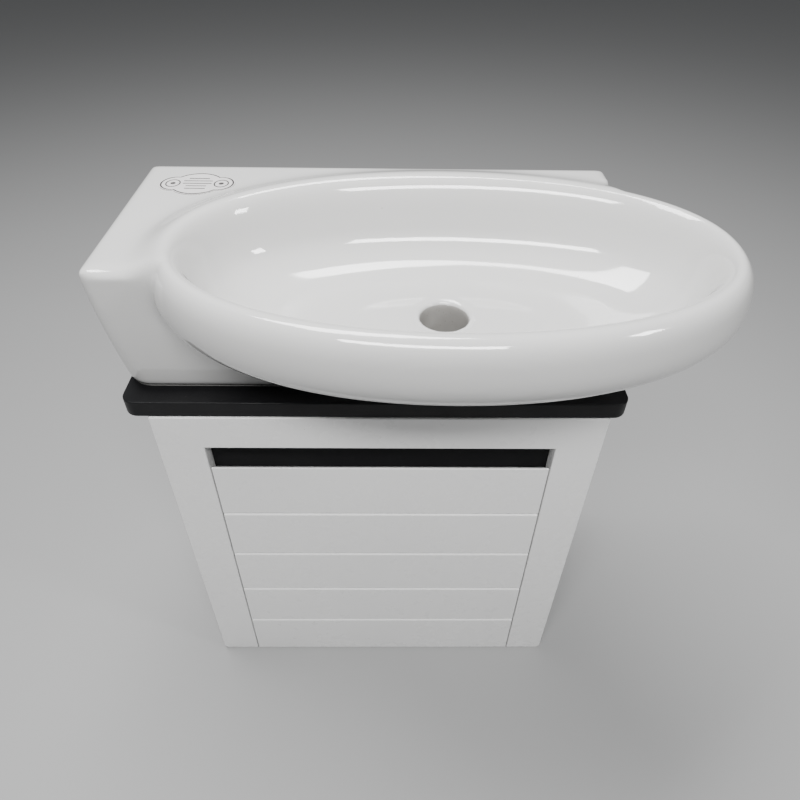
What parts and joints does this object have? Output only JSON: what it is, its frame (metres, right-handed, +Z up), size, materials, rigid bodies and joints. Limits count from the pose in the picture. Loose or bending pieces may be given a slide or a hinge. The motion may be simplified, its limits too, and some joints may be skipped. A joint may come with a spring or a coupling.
{
  "type": "wall-hung washbasin vanity unit",
  "caption": "Wall-hung vanity unit: ceramic washbasin with an offset oval bowl over a small cabinet with a grooved drawer front.",
  "frame": {"origin": "middle of the wall rail's back face, on the wall plane and the cabinet's centreline", "axes": "+Z up, -Y is the front, +X to the right of someone facing the unit, +Y into the wall"},
  "size_m": [0.5822, 0.3515, 0.612],
  "materials": {
    "ceramic": "glossy white glaze",
    "white_lacquer": "satin white lacquer on MDF",
    "white_board": "white melamine-faced board",
    "dark_board": "satin anthracite lacquered board",
    "batten_board": "raw fibreboard",
    "zinc": "zinc-plated pressed steel",
    "screw_steel": "bright zinc-plated steel",
    "nylon": "moulded off-white nylon",
    "rubber": "matt black rubber",
    "silicone": "white sanitary silicone",
    "label": "matt printed paper"
  },
  "bodies": {
    "cabinet": {"basin": "ceramic", "silicone_bead": "silicone", "care_label": "label", "countertop": "dark_board", "finger_gap_panel": "dark_board", "side_panel_left": "white_lacquer", "side_panel_right": "white_lacquer", "face_frame": "white_lacquer", "floor_panel": "white_board", "hanging_rail": "white_board", "lower_back_rail": "white_board", "drawer_stop_left": "rubber", "drawer_stop_right": "rubber", "runner_batten_left": "batten_board", "runner_batten_right": "batten_board", "hanger_case_left": "nylon", "hanger_case_right": "nylon", "wall_rail": "zinc", "runner_channel_left": "zinc", "top_bracket_left": "zinc", "hanger_hook_left": "zinc", "channel_screw_left_1": "screw_steel", "bracket_screw_left_1": "screw_steel", "hanger_adjuster_left_1": "screw_steel", "channel_screw_left_2": "screw_steel", "bracket_screw_left_2": "screw_steel", "hanger_adjuster_left_2": "screw_steel", "carcass_screw_left_1": "screw_steel", "carcass_screw_left_2": "screw_steel", "carcass_screw_left_3": "screw_steel", "carcass_screw_left_4": "screw_steel", "runner_channel_right": "zinc", "top_bracket_right": "zinc", "hanger_hook_right": "zinc", "channel_screw_right_1": "screw_steel", "bracket_screw_right_1": "screw_steel", "hanger_adjuster_right_1": "screw_steel", "channel_screw_right_2": "screw_steel", "bracket_screw_right_2": "screw_steel", "hanger_adjuster_right_2": "screw_steel", "carcass_screw_right_1": "screw_steel", "carcass_screw_right_2": "screw_steel", "carcass_screw_right_3": "screw_steel", "carcass_screw_right_4": "screw_steel"},
    "drawer": {"drawer_front": "white_lacquer", "drawer_side_left": "white_board", "drawer_side_right": "white_board", "drawer_back": "white_board", "drawer_bottom": "white_board", "runner_slide_left": "zinc", "runner_slide_right": "zinc", "slide_screw_left_1": "screw_steel", "slide_screw_left_2": "screw_steel", "slide_screw_right_1": "screw_steel", "slide_screw_right_2": "screw_steel"},
    "runner_middle_left": {"runner_middle_left": "zinc"},
    "runner_middle_right": {"runner_middle_right": "zinc"}
  },
  "joints": [
    {"name": "drawer_slide", "type": "slide", "parent": "cabinet", "child": "drawer", "axis": [0, -1, 0], "range_m": [0, 0.18]},
    {"name": "runner_middle_left_slide", "type": "slide", "parent": "cabinet", "child": "runner_middle_left", "axis": [0, -1, 0], "range_m": [0, 0.09]},
    {"name": "runner_middle_right_slide", "type": "slide", "parent": "cabinet", "child": "runner_middle_right", "axis": [0, -1, 0], "range_m": [0, 0.09]}
  ],
  "couplings": [
    {"joint": "runner_middle_left_slide", "follows": "drawer_slide", "ratio": 0.5},
    {"joint": "runner_middle_right_slide", "follows": "drawer_slide", "ratio": 0.5}
  ]
}
